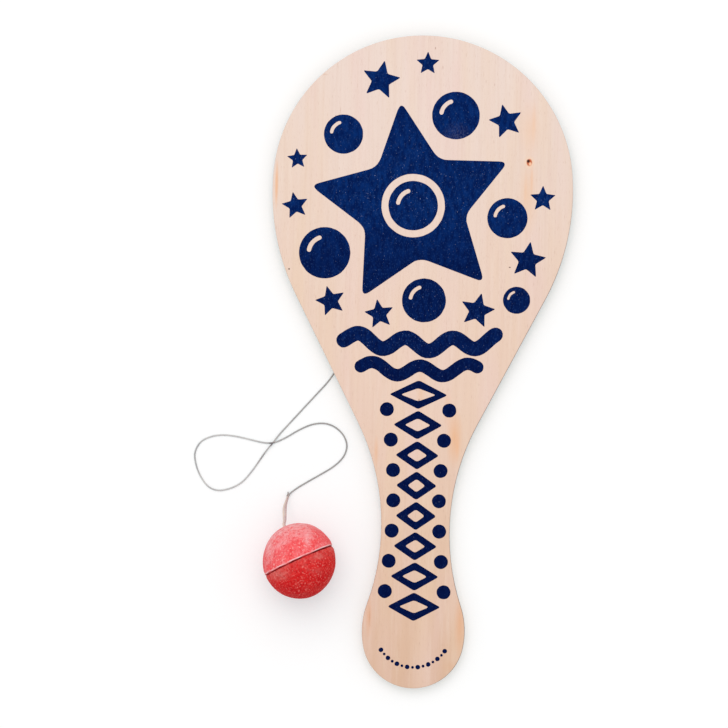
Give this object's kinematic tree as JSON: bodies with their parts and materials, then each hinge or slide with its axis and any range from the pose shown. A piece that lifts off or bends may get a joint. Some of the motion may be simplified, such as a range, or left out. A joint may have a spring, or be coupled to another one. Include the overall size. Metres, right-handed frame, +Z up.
{
  "type": "paddle ball game",
  "caption": "Flat plywood paddle with a waisted handle and a hollow rubber ball on an elastic string stapled to its back.",
  "frame": {"origin": "on the paddle's centre line, halfway along its length, on the surface that the game lies on", "axes": "+Y up the paddle from butt to blade top, +X to the right of the printed face, +Z up out of the printed face"},
  "size_m": [0.1602, 0.28, 0.0323],
  "materials": {
    "face_veneer": "pale face veneer, sanded, printed in dark blue",
    "core_wood": "core ply, end grain at the edge",
    "back_veneer": "pale back veneer, sanded",
    "staple_wire": "bright steel wire",
    "elastic": "natural rubber, dusty",
    "pale_red_rubber": "dusty pale red rubber",
    "red_rubber": "speckled red rubber"
  },
  "bodies": {
    "paddle": {"front_veneer": "face_veneer", "core_ply": "core_wood", "back_veneer": "back_veneer", "staple": "staple_wire", "anchor_knot": "elastic"},
    "tether": {"tether_elastic": "elastic"},
    "curl": {"curl_elastic": "elastic", "outer_knot": "elastic"},
    "eye": {"eye_strands": "elastic", "inner_knot": "elastic"},
    "ball": {"ball_eyed_half": "pale_red_rubber", "ball_plain_half": "red_rubber"}
  },
  "joints": [
    {"name": "string_swing", "type": "hinge", "parent": "paddle", "child": "tether", "pos_m": [-0.0012, 0.055, 0.00131], "axis": [0, 0, -1], "range_deg": [0, 120]},
    {"name": "elastic_stretch", "type": "slide", "parent": "tether", "child": "curl", "axis": [-0.6644, -0.7474, 0], "range_m": [0, 0.35], "stiffness_N_per_m": 3},
    {"name": "ball_lift", "type": "slide", "parent": "curl", "child": "eye", "axis": [0, 0, 1], "range_m": [0, 0.15]},
    {"name": "ball_spin", "type": "hinge", "parent": "eye", "child": "ball", "pos_m": [-0.0494, -0.0861, 0.01619], "axis": [-0.4101, 0.9083, -0.0819], "continuous": true}
  ]
}
